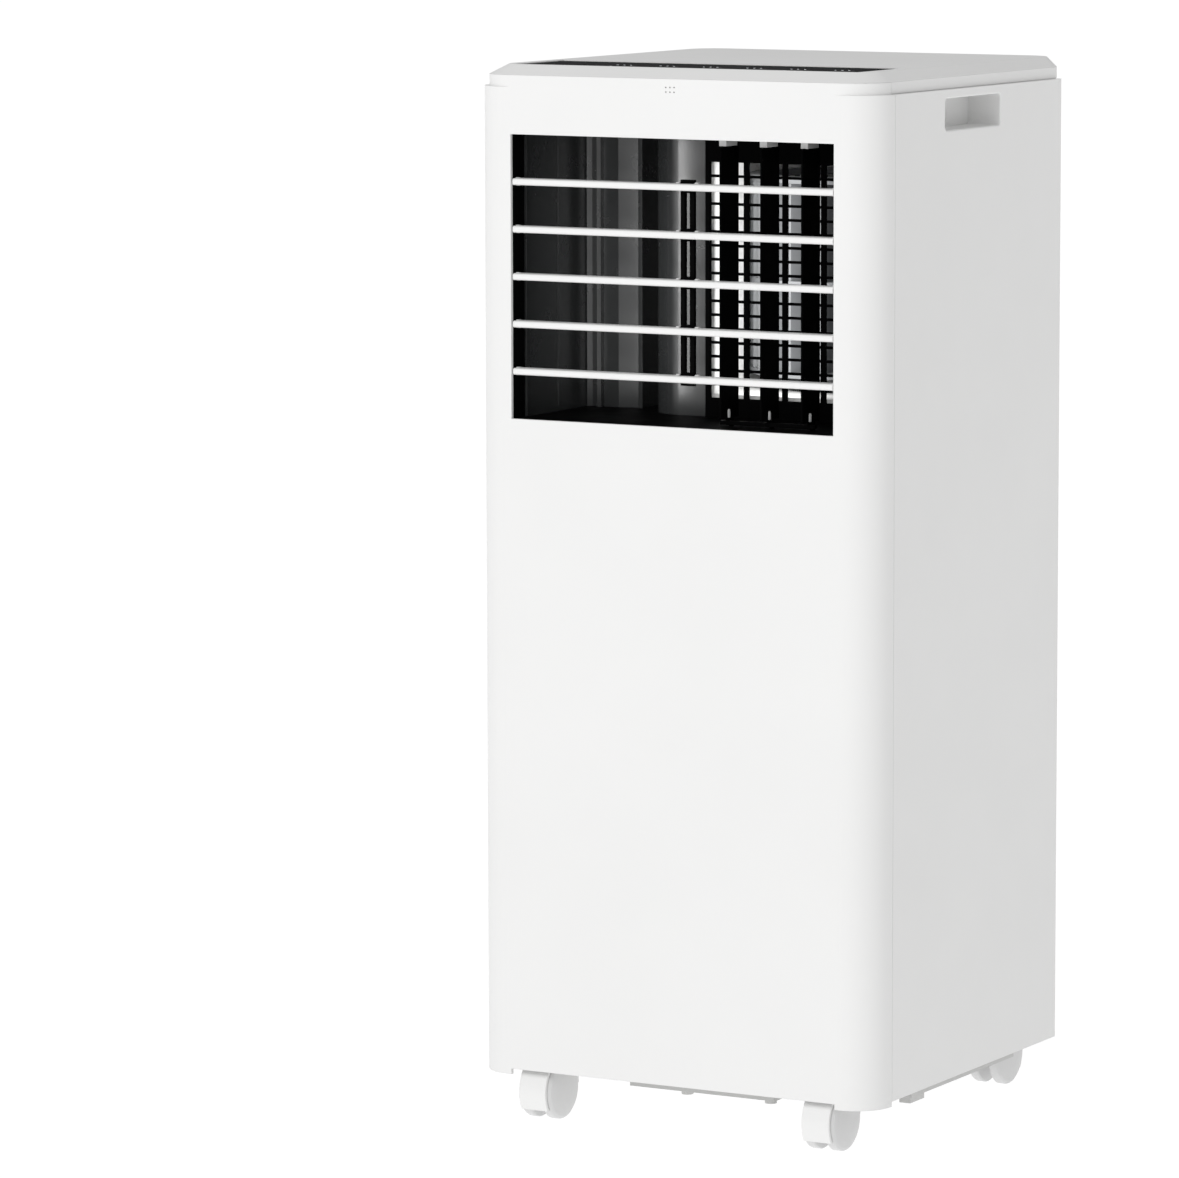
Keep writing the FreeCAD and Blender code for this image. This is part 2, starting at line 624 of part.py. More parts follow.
def outlet_guard():
    """The finger guard: a solid border, thin cross bars and upright ribs."""
    parts = []
    rear = "guard_y + 2.5"
    low, high = "outlet_low + guard_sill", "outlet_high - guard_head"
    parts.append(block("guard_left", "outlet_half", "guard_y", rear, "outlet_low", low))
    parts.append(block("guard_left", "outlet_half", "guard_y", rear, high, "outlet_high"))
    parts.append(block("outlet_half - 2.5", "outlet_half", "guard_y", rear, "outlet_low", "outlet_high"))
    for rib in range(GUARD_RIBS):
        edge = f"guard_left + guard_rib_pitch * {rib}"
        parts.append(block(edge, f"{edge} + guard_rib", "guard_y", rear, "outlet_low", "outlet_high"))
    for bar in range(1, GUARD_BARS + 1):
        middle = f"{low} + ({high} - ({low})) / {GUARD_BARS + 1} * {bar}"
        parts.append(block("guard_left", "outlet_half", "guard_y + 0.3", "guard_y + 2.1",
                           f"{middle} - 0.9", f"{middle} + 0.9"))
    joined("outlet_guard", parts)


def swing_motor():
    """The small motor under the duct that turns the middle vane."""
    piece = Piece("swing_motor")
    under = "outlet_low - duct_wall_t"
    x = vane_x(VANES // 2)
    piece.pad("XY", f"{under} - 22", under, lambda o: o.circle(x, "vane_axis_y", 13))
    piece.pad("XY", f"{under} - 5", under, lambda o: o.rounded(
        f"{x} - 20", f"{x} + 20", "vane_axis_y - 4", "vane_axis_y + 4", 3.5))
    piece.pocket("XY", f"{under} - 8", under, lambda o: o.circle(x, "vane_axis_y", "vane_pin + fit"))


# ---------------------------------------------------------------- cold side
def partition_deck():
    piece = Piece("partition_deck")
    piece.pad("XY", "deck_low", "deck_high", lambda o: o.rounded(-142.8, 142.8, -138, 137, 20))
    piece.pocket("XY", "deck_low", "deck_high", lambda o: o.circle(-95, "compressor_y", 6))


def blower_scroll():
    """Foam housing of the blower, open to the guard at the front."""
    piece = Piece("blower_scroll")
    low, high = 478, 646
    piece.pad("XY", low, high, lambda o: o.polygon(
        (-13.4, "guard_y + 2.6"), (118, "guard_y + 2.6"), (118, 92), (-29, 92), (-29, -19.5), (-13.4, -19.5)))
    piece.pocket("XY", low + 6, high - 9.4, lambda o: o.circle("blower_x", "blower_y", "blower_r + 4"))
    piece.pocket("XY", low + 6, high - 9.4, lambda o: o.rectangle(
        -9, 114, "guard_y", "blower_y"))
    piece.pocket("XY", low, high, lambda o: o.circle("blower_x", "blower_y", 50))


def blower_wheel():
    """Forward-curved blower wheel on a hub disc, in its own frame about the Z axis."""
    piece = Piece("blower_wheel")

    def band(outline):
        outline.circle(0, 0, "blower_r")
        outline.circle(0, 0, "blower_r - 13")
    blade = piece.pad("XY", 0, 132, lambda o: o.polygon(
        ("blower_r - 0.6", 0), ("blower_r - 0.8", 1.4), ("blower_r - 12.5", 6), ("blower_r - 12.5", 4.6)))
    piece.ring_of(blade, 36)
    piece.pad("XY", 0, 4, band)
    piece.pad("XY", 128, 132, band)
    piece.pad("XY", 60, 64, lambda o: o.circle(0, 0, "blower_r"))
    piece.pad("XY", 50, 76, lambda o: o.circle(0, 0, 10))
    piece.pocket("XY", 50, 80, lambda o: o.circle(0, 0, "4 + fit"))
    piece.place(x="blower_x", y="blower_y", z=494)


def motor(label, steps, shaft, **where):
    """A motor as stacked discs (radius, low, high) along its own Z axis, with its shaft."""
    piece = Piece(label)
    for radius, low, high in steps:
        piece.pad("XY", low, high, lambda o: o.circle(0, 0, radius))
    piece.pad("XY", *shaft, lambda o: o.circle(0, 0, 4))
    piece.place(**where)
    return piece


def coil(label, x_half, y0, y1, z0, z1, tubes):
    """A finned block with return bends at both ends of its tubes."""
    parts = [block(f"-({x_half})", x_half, y0, y1, z0, z1)]
    step = f"(({z1}) - ({z0})) / {tubes}"
    for index in range(tubes):
        height = f"{z0} + {step} * ({index} + 0.5)"
        parts.append(rod(f"-({x_half}) - 7", f"(({y0}) + ({y1})) / 2", height, 3.5, f"2 * ({x_half}) + 14", "X"))
    joined(label, parts)


# ---------------------------------------------------------------- hot side
def condenser_duct():
    piece = Piece("condenser_duct")

    def tube(outline):
        outline.circle("fan_x", "fan_z", 75)
        outline.circle("fan_x", "fan_z", 72)
    piece.pad("XZ", 40, 117.5, tube)


def condenser_fan():
    """Six pitched blades on a hub, in its own frame about the Z axis."""
    piece = Piece("condenser_fan")
    blade = piece.pad("XZ", 15, 66, lambda o: o.polygon((-17, 0), (-15, 0), (17, 22), (15, 22)))
    pattern = piece.body.newObject("PartDesign::PolarPattern", "condenser_fan_pattern")
    pattern.Originals = [blade]
    pattern.Axis = ([item for item in piece.body.Origin.OriginFeatures if item.Role == "Z_Axis"][0], [""])
    pattern.Angle = 360
    pattern.Occurrences = 6
    piece.body.Tip = pattern
    doc.recompute()
    piece.pad("XY", 0, 24, lambda o: o.circle(0, 0, 22))
    piece.pocket("XY", 0, 24, lambda o: o.circle(0, 0, "4 + fit"))
    piece.place(x="fan_x", y=72, z="fan_z", axis=(1, 0, 0), angle=-90)


def condenser_motor():
    piece = motor("condenser_motor", [(30, 0, 44), (14, 44, 50)], (50, 96),
                  x="fan_x", y=0, z="fan_z", axis=(1, 0, 0), angle=-90)
    piece.pad("XY", 40.2, 44, lambda o: o.rectangle(-71.5, 71.5, -5, 5))
    piece.pad("XY", 40.2, 44, lambda o: o.rectangle(-5, 5, -71.5, 71.5))


def compressor():
    piece = Piece("compressor")
    piece.pad("XY", 53, 236, lambda o: o.circle(0, 0, "compressor_r"))
    piece.round_edges(24, lambda edge: edge.BoundBox.ZMin > 235.9)
    piece.pad("XY", 50, 53, lambda o: o.circle(0, 0, 66))
    piece.pad("XY", 180, 212, lambda o: o.rounded(-18, 18, "-compressor_r - 8", "-compressor_r + 8", 4))
    piece.place(x="compressor_x", y="compressor_y")


def compressor_feet():
    parts = []
    for angle in (90, 210, 330):
        x = f"compressor_x + {58 * math.cos(math.radians(angle)):.3f}"
        y = f"compressor_y + {58 * math.sin(math.radians(angle)):.3f}"
        parts.append(rod(x, y, "basin_low + 3", 9, 14))
        parts.append(rod(x, y, "basin_low + 17", 7, 4))
    joined("compressor_feet", parts)


def bent_tube(x, corners, bend, radius):
    """A round tube in the plane X = x through corners (y, z), each turned with radius bend."""
    spots = [V(x, y, z) for y, z in corners]
    edges = []
    start = spots[0]
    for before, spot, after in zip(spots, spots[1:], spots[2:]):
        inward = (before - spot).normalize()
        outward = (after - spot).normalize()
        enter = spot + inward * bend
        leave = spot + outward * bend
        middle = spot + (inward + outward) * (bend * (1 - math.sqrt(0.5)))
        edges.append(Part.LineSegment(start, enter).toShape())
        edges.append(Part.Arc(enter, middle, leave).toShape())
        start = leave
    edges.append(Part.LineSegment(start, spots[-1]).toShape())
    first = spots[1] - spots[0]
    section = Part.Wire(Part.Circle(spots[0], first, radius).toShape())
    return Part.Wire(edges).makePipeShell([section], True, False)


def refrigerant_pipes():
    """Discharge pipe to the condenser and suction pipe, with its accumulator, to the evaporator."""
    x, y = number("compressor_x"), number("compressor_y")
    discharge = bent_tube(x, [(y, 236), (y, 268), (114, 268), (114, 198)], 18, 4)
    suction = bent_tube(-95, [(y, 236), (y, 396), (98, 396)], 22, 5)
    accumulator = Part.makeCylinder(20, 84, V(-95, y, 262))
    pipes = doc.addObject("Part::Feature", "refrigerant_pipes")
    pipes.Label = "refrigerant_pipes"
    pipes.Shape = Part.makeCompound([discharge, suction.fuse(accumulator)])
    pipes.Placement = FreeCAD.Placement()
    NODES.append(pipes)


# ---------------------------------------------------------------- controls
def key_place(index):
    return KEY_FIRST_X + KEY_STEP * index


def control_panel():
    """Gloss panel held under the cover's slot, with an opening for each key."""
    piece = Piece("control_panel")
    piece.pad("XY", "panel_top - 3.9", "height - wall - 0.1", lambda o: o.rectangle(
        "-slot_half - 1.5", "slot_half + 1.5", "slot_front + 16", "slot_rear + 2.4"))
    piece.pad("XY", "panel_top - 3.9", "panel_top", lambda o: o.rectangle(
        "-slot_half + 0.4", "slot_half - 0.4", "slot_front + 0.4", "slot_rear - 0.4"))

    def openings(outline):
        for index in range(len(KEYS)):
            x = key_place(index)
            outline.rounded(f"{x} - key_x / 2 - 0.25", f"{x} + key_x / 2 + 0.25",
                            "key_row_y - key_y / 2 - 0.25", "key_row_y + key_y / 2 + 0.25", 2.25)
    piece.pocket("XY", "panel_top - 5", "panel_top + 1", openings)


def key(index, label):
    """A push key: cap in the panel, retaining flange below it and a stem to its switch."""
    piece = Piece(label)
    piece.pad("XY", "panel_top - 5.4", "panel_top", lambda o: o.rounded(
        "-key_x / 2", "key_x / 2", "-key_y / 2", "key_y / 2", 2))
    piece.pad("XY", "panel_top - 5.4", "panel_top - 4.2", lambda o: o.rounded(
        "-key_x / 2 - 1.4", "key_x / 2 + 1.4", "-key_y / 2 - 1.4", "key_y / 2 + 1.4", 3))
    piece.pad("XY", "panel_top - 11", "panel_top - 5", lambda o: o.circle(0, 0, 2))
    piece.place(x=key_place(index), y="key_row_y")


def control_board():
    piece = Piece("control_board")
    piece.pad("XY", 682, 683.6, lambda o: o.rectangle(-84, 115, -123, -72))

    def switches(outline):
        for index in range(len(KEYS)):
            x = key_place(index)
            outline.rectangle(x - 3, x + 3, "key_row_y - 3", "key_row_y + 3")
    piece.pad("XY", 683, 687.2, switches)

    def posts(outline):
        for x in (-78, 112):
            for y in (-120, -76):
                outline.circle(x, y, 2.5)
    piece.pad("XY", 683, "panel_top - 3.9", posts)
    piece.pad("XY", 683, 690, lambda o: o.rectangle(-40, 20, -92, -78))


# ---------------------------------------------------------------- rear
def rear_grille(label, low, high, rows, ribs):
    """A frame with slats that fills a rear window."""
    x0, x1 = "-window_half + 0.4", "window_half - 0.4"
    z0, z1 = f"{low} + 0.4", f"{high} - 0.4"
    y0, y1 = "rear_y - wall", "rear_y"
    border = 5
    parts = [block(x0, x1, y0, y1, z0, f"{z0} + {border}"), block(x0, x1, y0, y1, f"{z1} - {border}", z1),
             block(x0, f"{x0} + {border}", y0, y1, z0, z1), block(f"{x1} - {border}", x1, y0, y1, z0, z1)]
    for row in range(1, rows + 1):
        height = f"{z0} + ({z1} - ({z0})) / {rows + 1} * {row}"
        parts.append(block(x0, x1, y0, y1, f"{height} - 1.4", f"{height} + 1.4"))
    for rib in range(1, ribs + 1):
        middle = f"{x0} + ({x1} - ({x0})) / {ribs + 1} * {rib}"
        parts.append(block(f"{middle} - 1.2", f"{middle} + 1.2", f"{y0} - 1.5", f"{y1} - 0.4", z0, z1))
    joined(label, parts)


def air_filter():
    """A framed mesh clipped behind the intake grille."""
    piece = Piece("air_filter")
    piece.pad("XZ", "rear_y - 9.6", "rear_y - wall - 1.5", lambda o: o.rectangle(
        -100, 100, "intake_low + 5", "intake_high - 5"))
    piece.pocket("XZ", "rear_y - 8.4", "rear_y - wall", lambda o: o.rectangle(
        -95, 95, "intake_low + 10", "intake_high - 10"))
    for side in (-1, 1):
        low, high = sorted((side * 96, side * 99.5))
        piece.pad("XZ", "rear_y - 6", "rear_y - wall", lambda o: o.rectangle(
            low, high, "intake_low + 80", "intake_low + 110"))


def exhaust_collar():
    piece = Piece("exhaust_collar")

    def tube(outline):
        outline.circle("fan_x", "fan_z", "exhaust_bore + 4")
        outline.circle("fan_x", "fan_z", "exhaust_bore")

    def flange(outline):
        outline.circle("fan_x", "fan_z", "exhaust_bore + 8")
        outline.circle("fan_x", "fan_z", "exhaust_bore")
    piece.pad("XZ", 118, "rear_y + 2.6", tube)
    piece.pad("XZ", "rear_y", "rear_y + 2.6", flange)


def drain_cap():
    piece = Piece("drain_cap")
    piece.pad("XZ", "rear_y - 10", "rear_y + 3", lambda o: o.circle(-90, 62, 4.95))
    piece.pad("XZ", "rear_y + 0.5", "rear_y + 3", lambda o: o.circle(-90, 62, 9.5))


def cord_gland():
    piece = Piece("cord_gland")
    piece.pad("XZ", "rear_y - 6", "rear_y + 2.4", lambda o: o.circle(108, 62, 6.9))
    piece.pad("XZ", "rear_y", "rear_y + 1.6", lambda o: o.circle(108, 62, 9.5))
    piece.pocket("XZ", "rear_y - 6", "rear_y + 3", lambda o: o.circle(108, 62, 3.8))


# ---------------------------------------------------------------- casters
def caster_spots():
    """Name, axle place and turn of each caster; each hood faces away from the casing's middle."""
    for end, y, turn in (("front", "caster_front_y", 0), ("rear", "caster_rear_y", 180)):
        for side, x in (("left", "-caster_x"), ("right", "caster_x")):
            yield f"caster_{end}_{side}", x, y, turn


def caster_hood(label, x, y, turn):
    """Hood, web and stem, with the axle on the X axis of its own frame and the hood at -Y."""
    piece = Piece(label + "_hood")
    piece.pad("YZ", "-hood_half", "hood_half", lambda o: o.circle(0, 0, "hood_r"))
    top = "pan_low - 0.3 - wheel_r"
    piece.pad("XY", 6, top, lambda o: o.circle(0, "caster_trail", 9))
    piece.pad("XY", 20, "50", lambda o: o.circle(0, "caster_trail", "stem_r"))
    for low, high in ((-12, -4.2), (4.2, 12)):
        piece.pocket("YZ", low, high, lambda o: o.circle(0, 0, "hood_bore"))
    piece.pocket("YZ", -12, 12, lambda o: o.polygon(
        (-30, -12), (-6, -12), (30, 4), (30, -30), (-30, -30)))
    piece.pad("YZ", -4.2, 4.2, lambda o: o.circle(0, 0, 8))
    piece.pocket("YZ", -12, 12, lambda o: o.circle(0, 0, "axle_r + fit"))
    piece.place(x=x, y=y, z="wheel_r", axis=(0, 0, 1), angle=turn)


def caster_wheels(label, x, y):
    """Twin wheels and their axle, turned about the X axis."""
    piece = Piece(label + "_wheels")

    def half_section(outline):
        rim = [(4.5, "axle_r"), (4.5, "wheel_r - 0.8"), (5.3, "wheel_r"), ("hood_half", "wheel_r"),
               ("hood_half + 1", "wheel_r - 0.5"), ("hood_half + 2", "wheel_r - 2"),
               ("hood_half + 2.9", "wheel_r - 6"), ("hood_half + 3.5", "wheel_r - 11"),
               ("hood_half + 3.8", "axle_r"), ("hood_half + 3.8", 0)]
        mirrored = [(f"-({x_})", r_) for x_, r_ in reversed(rim)]
        outline.polygon(*rim, *mirrored)
    piece.turn(half_section)
    piece.place(x=x, y=y, z="wheel_r")


# ---------------------------------------------------------------- assembly
front_panel()
side_panel("side_panel_left", -1)
side_panel("side_panel_right", 1)
rear_panel()
top_cover()
base_pan()
housing_screws()
outlet_frame()
duct_wall()
for louver_index in range(1, LOUVERS + 1):
    louver(louver_index)
louver_link()
for vane_index in range(VANES):
    vane(vane_index)
vane_link()
vane_bushes()
outlet_guard()
swing_motor()
partition_deck()
blower_scroll()
blower_wheel()
motor("blower_motor", [(34, 0, 6), (20, 6, 36), (40, 36, 84), (14, 84, 92)], (92, 200),
      x="blower_x", y="blower_y", z="deck_high")
coil("evaporator_coil", 105, 98, 124, "deck_high", 646, 10)
condenser_duct()
condenser_fan()
condenser_motor()
coil("condenser_coil", 86, 100, 128, "pan_low + 3", 198, 6)
compressor()
compressor_feet()
refrigerant_pipes()
control_panel()
for key_index, key_label in enumerate(KEYS):
    key(key_index, key_label)
control_board()
rear_grille("intake_grille", "intake_low", "intake_high", 26, 3)
rear_grille("lower_grille", "lower_low", "lower_high", 10, 3)
air_filter()
exhaust_collar()
drain_cap()
cord_gland()
for caster_label, caster_x_, caster_y_, caster_turn in caster_spots():
    caster_hood(caster_label, caster_x_, caster_y_, caster_turn)
    caster_wheels(caster_label, caster_x_, caster_y_)
doc.recompute()

for item in doc.Objects:
    if "Invalid" in item.State or "Error" in item.State:
        raise RuntimeError(f"{item.Name} failed: {item.State}")
os.makedirs("parts", exist_ok=True)
for node in NODES:
    if node.Shape.isNull() or not node.Shape.isValid():
        raise RuntimeError(f"{node.Label} has no valid shape")
    node.Shape.exportStep(f"parts/{node.Label}.step")
print(len(NODES), "nodes written")
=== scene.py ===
"""The looks of a portable air conditioner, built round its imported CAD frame. Metres, +Z up."""
import json
import math

import bmesh
import bpy
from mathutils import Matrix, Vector


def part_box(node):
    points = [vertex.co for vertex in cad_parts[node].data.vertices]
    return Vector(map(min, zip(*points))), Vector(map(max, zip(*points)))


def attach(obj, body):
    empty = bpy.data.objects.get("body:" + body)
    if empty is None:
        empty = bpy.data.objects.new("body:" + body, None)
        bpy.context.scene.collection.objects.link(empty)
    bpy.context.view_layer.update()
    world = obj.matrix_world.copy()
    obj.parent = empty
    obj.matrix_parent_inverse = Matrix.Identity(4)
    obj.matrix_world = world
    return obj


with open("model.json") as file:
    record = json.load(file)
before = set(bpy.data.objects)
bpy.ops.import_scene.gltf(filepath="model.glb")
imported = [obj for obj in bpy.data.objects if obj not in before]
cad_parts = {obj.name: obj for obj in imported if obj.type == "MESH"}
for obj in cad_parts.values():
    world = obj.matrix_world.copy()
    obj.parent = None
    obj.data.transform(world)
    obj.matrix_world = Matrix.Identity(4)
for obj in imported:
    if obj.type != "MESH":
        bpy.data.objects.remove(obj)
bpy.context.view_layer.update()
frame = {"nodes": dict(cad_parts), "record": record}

MM = 0.001
NODES = frame["nodes"]
KEYS = ["power_key", "mode_key", "cooler_key", "warmer_key", "speed_key", "swing_key"]


# ---------------------------------------------------------------- material nodes
class Shader:
    """A Principled material with helpers for its procedural detail."""

    def __init__(self, name, **constants):
        self.mat = bpy.data.materials.new(name)
        self.mat.use_nodes = True
        self.tree = self.mat.node_tree
        self.bsdf = self.tree.nodes["Principled BSDF"]
        coordinates = self.tree.nodes.new("ShaderNodeTexCoord")
        self.place = coordinates.outputs["Object"]
        self.normal = None
        for key, value in constants.items():
            self.bsdf.inputs[key.replace("_", " ")].default_value = value

    def link(self, output, target):
        """Join an output socket to an input socket."""
        self.tree.links.new(output, target)

    def noise(self, scale, detail=3, stretch=None):
        """Noise whose scale is in features per metre."""
        node = self.tree.nodes.new("ShaderNodeTexNoise")
        node.inputs["Scale"].default_value = scale
        node.inputs["Detail"].default_value = detail
        node.inputs["Roughness"].default_value = 0.55
        source = self.place
        if stretch:
            mapping = self.tree.nodes.new("ShaderNodeMapping")
            mapping.inputs["Scale"].default_value = stretch
            self.link(self.place, mapping.inputs["Vector"])
            source = mapping.outputs["Vector"]
        self.link(source, node.inputs["Vector"])
        return node.outputs["Fac"]

    def wave(self, per_metre, axis):
        """Soft bands across axis, with per_metre setting how close they lie."""
        node = self.tree.nodes.new("ShaderNodeTexWave")
        node.wave_type = "BANDS"
        node.bands_direction = axis
        node.wave_profile = "SIN"
        node.inputs["Scale"].default_value = per_metre * math.pi / 10
        self.link(self.place, node.inputs["Vector"])
        return node.outputs["Fac"]

    def cells(self, scale, feature="F1"):
        """Voronoi cells whose scale is in features per metre."""
        node = self.tree.nodes.new("ShaderNodeTexVoronoi")
        node.feature = feature
        node.inputs["Scale"].default_value = scale
        self.link(self.place, node.inputs["Vector"])
        return node.outputs["Distance"]

    def span(self, source, low, high, start=0.3, end=0.7):
        """Map a factor between start and end onto low to high."""
        node = self.tree.nodes.new("ShaderNodeMapRange")
        for key, value in (("From Min", start), ("From Max", end), ("To Min", low), ("To Max", high)):
            node.inputs[key].default_value = value
        self.link(source, node.inputs["Value"])
        return node.outputs["Result"]

    def colours(self, source, first, second, start=0.3, end=0.7):
        """Blend two colours by a factor."""
        ramp = self.tree.nodes.new("ShaderNodeValToRGB")
        ramp.color_ramp.elements[0].position = start
        ramp.color_ramp.elements[1].position = end
        ramp.color_ramp.elements[0].color = (*first, 1)
        ramp.color_ramp.elements[1].color = (*second, 1)
        self.link(source, ramp.inputs["Fac"])
        self.link(ramp.outputs["Color"], self.bsdf.inputs["Base Color"])
        return self

    def rough(self, source, low, high):
        """Let the roughness wander between low and high."""
        self.link(self.span(source, low, high), self.bsdf.inputs["Roughness"])
        return self

    def soft_edges(self, radius):
        """Round the shading over sharp edges, as a mould leaves them."""
        node = self.tree.nodes.new("ShaderNodeBevel")
        node.samples = 6
        node.inputs["Radius"].default_value = radius
        self.normal = node.outputs["Normal"]
        self.link(self.normal, self.bsdf.inputs["Normal"])
        return self

    def bump(self, source, height, strength=1.0):
        """Raise the surface by up to height metres."""
        node = self.tree.nodes.new("ShaderNodeBump")
        node.inputs["Strength"].default_value = strength
        node.inputs["Distance"].default_value = height
        self.link(source, node.inputs["Height"])
        if self.normal:
            self.link(self.normal, node.inputs["Normal"])
        self.normal = node.outputs["Normal"]
        self.link(self.normal, self.bsdf.inputs["Normal"])
        return self


def tinted(colour, amount):
    """A colour made darker or lighter by a factor."""
    return tuple(channel * amount for channel in colour)


def moulded(name, colour, rough, height=0.012 * MM, edge=0.5 * MM, cloud=0.02, **constants):
    """Injection moulded plastic: fine spark-eroded grain, faint flow clouds and soft edges."""
    made = Shader(name, **constants)
    made.colours(made.noise(7, detail=4), tinted(colour, 1 - cloud), colour)
    made.rough(made.noise(45, detail=5), rough - 0.04, rough + 0.05)
    made.soft_edges(edge)
    made.bump(made.noise(2600, detail=2), height)
    return made.mat


def glossy(name, colour):
    """Black panel film with a faint orange-peel and dust on it."""
    made = Shader(name, IOR=1.02)
    made.colours(made.noise(30, detail=5), tinted(colour, 0.7), colour)
    made.rough(made.noise(900, detail=6), 0.32, 0.46)
    made.soft_edges(0.25 * MM)
    made.bump(made.noise(160, detail=2), 0.004 * MM)
    return made.mat


def foam(name, colour):
    """Expanded polystyrene: packed beads with dark seams."""
    made = Shader(name)
    made.colours(made.cells(330), tinted(colour, 1.0), tinted(colour, 0.86), 0.2, 0.9)
    made.rough(made.noise(60), 0.75, 0.9)
    made.bump(made.cells(330), 0.15 * MM, 0.5)
    return made.mat


def metal(name, colour, rough, brushed="Z"):
    """Plated metal with fine lines drawn along one axis."""
    made = Shader(name, Metallic=1.0)
    stretch = {"Y": (1, 0.02, 1), "Z": (1, 1, 0.02)}[brushed]
    lines = made.noise(2200, detail=4, stretch=stretch)
    made.colours(made.noise(14, detail=5), tinted(colour, 0.82), colour)
    made.rough(lines, rough - 0.06, rough + 0.12)
    made.soft_edges(0.3 * MM)
    made.bump(lines, 0.01 * MM)
    return made.mat


def fins_with_painted_gap_shade(name):
    """Thin aluminium fins seen edge on; the dark bands between them are painted shade in the gaps."""
    made = Shader(name, Metallic=0.9)
    fins = made.wave(620, "X")
    # dark bands: painted shade in the gaps between the fins; light bands: the fins' edges
    made.colours(fins, (0.12, 0.13, 0.14), (0.74, 0.76, 0.78), 0.35, 0.75)
    made.rough(made.noise(300), 0.28, 0.5)
    made.bump(fins, 0.6 * MM, 0.8)
    return made.mat


def woven(name):
    """Fine nylon filter mesh."""
    made = Shader(name)
    across, up = made.wave(900, "X"), made.wave(900, "Z")
    node = made.tree.nodes.new("ShaderNodeMath")
    node.operation = "MAXIMUM"
    made.link(across, node.inputs[0])
    made.link(up, node.inputs[1])
    made.colours(node.outputs[0], (0.01, 0.011, 0.012), (0.12, 0.13, 0.14), 0.45, 0.9)
    made.rough(made.noise(200), 0.55, 0.8)
    made.bump(node.outputs[0], 0.2 * MM)
    return made.mat


def rubber(name, colour):
    """Matt black rubber with a chalky grain."""
    made = Shader(name)
    made.colours(made.noise(60, detail=6), tinted(colour, 0.7), tinted(colour, 1.2))
    made.rough(made.noise(500, detail=4), 0.62, 0.82)
    made.soft_edges(0.4 * MM)
    made.bump(made.noise(1800, detail=3), 0.03 * MM)
    return made.mat


def enamel(name, colour):
    """Thick black paint with orange peel."""
    made = Shader(name, Coat_Weight=0.3, Coat_Roughness=0.2)
    made.colours(made.noise(40, detail=5), tinted(colour, 0.75), colour)
    made.rough(made.noise(200), 0.3, 0.42)
    made.soft_edges(0.6 * MM)
    made.bump(made.noise(420, detail=2), 0.04 * MM)
    return made.mat


def board_green(name):
    """Circuit board lacquer with paler tracks."""
    made = Shader(name, Coat_Weight=0.5, Coat_Roughness=0.15)
    made.colours(made.cells(260, "DISTANCE_TO_EDGE"), (0.05, 0.3, 0.12), (0.008, 0.09, 0.035), 0.02, 0.1)
    made.rough(made.noise(400), 0.3, 0.45)
    made.bump(made.cells(260, "DISTANCE_TO_EDGE"), 0.05 * MM)
    return made.mat


def lit(name, colour, strength):
    """Back-lit printing with an uneven ink."""
    made = Shader(name, Emission_Color=(*colour, 1), Emission_Strength=strength)
    made.colours(made.noise(700, detail=3), tinted(colour, 0.82), colour)
    made.rough(made.noise(900), 0.35, 0.5)
    made.bump(made.noise(2400), 0.01 * MM)
    return made.mat


WHITE = (0.86, 0.86, 0.855)
PRINT = lit("white_print", (0.8, 0.82, 0.84), 0.9)
INK = moulded("grey_ink", (0.09, 0.09, 0.095), 0.6, cloud=0.3)
MATERIALS = {
    "white_shell": moulded("white_shell", WHITE, 0.42),
    "white_louver": moulded("white_louver", (0.88, 0.88, 0.875), 0.34, height=0.006 * MM, edge=0.4 * MM),
    "black_duct": moulded("black_duct", (0.003, 0.003, 0.0032), 0.5, cloud=0.2, edge=0.3 * MM, IOR=1.06),
    "black_vane": moulded("black_vane", (0.002, 0.002, 0.0022), 0.45, cloud=0.2, edge=0.4 * MM, IOR=1.04),
    "grey_duct": moulded("grey_duct", (0.03, 0.0315, 0.032), 0.24, cloud=0.1, height=0.004 * MM,
                         edge=0.3 * MM, Specular_IOR_Level=0.8),
    "gloss_black": glossy("gloss_black", (0.006, 0.006, 0.007)),
    "board_green": board_green("board_green"),
    # grey_base: the base pan gets a grey darker than the white shell, painted shade for the shadow under
    # the unit
    "grey_base": moulded("grey_base", (0.62, 0.62, 0.61), 0.5, cloud=0.06),
    "foam": foam("foam", (0.86, 0.86, 0.85)),
    "blower_grey": moulded("blower_grey", (0.16, 0.165, 0.17), 0.4, cloud=0.1),
    "motor_metal": metal("motor_metal", (0.5, 0.5, 0.5), 0.34),
    "coil_fins": fins_with_painted_gap_shade("coil_fins"),
    "compressor_black": enamel("compressor_black", (0.02, 0.02, 0.021)),
    "copper": metal("copper", (0.85, 0.42, 0.26), 0.28),
    "rubber": rubber("rubber", (0.035, 0.035, 0.036)),
    "white_grille": moulded("white_grille", WHITE, 0.44, edge=0.35 * MM),
    "filter_mesh": woven("filter_mesh"),
    "screw_steel": metal("screw_steel", (0.56, 0.56, 0.57), 0.3, "Y"),
    "white_hood": moulded("white_hood", WHITE, 0.36, height=0.008 * MM),
    "wheel_grey": moulded("wheel_grey", (0.72, 0.72, 0.72), 0.4, height=0.008 * MM, cloud=0.05),
}
for row in frame["record"]["subparts"]:
    mesh = NODES[row["node"]].data
    mesh.materials.clear()
    mesh.materials.append(MATERIALS[row["material_slot"]])


# ---------------------------------------------------------------- added detail
def piece(name, slot, body, build, material=None):
    """A mesh that build(bm) makes in the row frame, in millimetres, carried by a CAD body."""
    mesh = bpy.data.meshes.new(name)
    bm = bmesh.new()
    build(bm)
    bmesh.ops.scale(bm, vec=(MM, MM, MM), verts=bm.verts)
    bmesh.ops.recalc_face_normals(bm, faces=bm.faces)
    bm.to_mesh(mesh)
    bm.free()
    mesh.materials.append(material or MATERIALS[slot])
    obj = bpy.data.objects.new(name, mesh)
    bpy.context.collection.objects.link(obj)
    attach(obj, body)


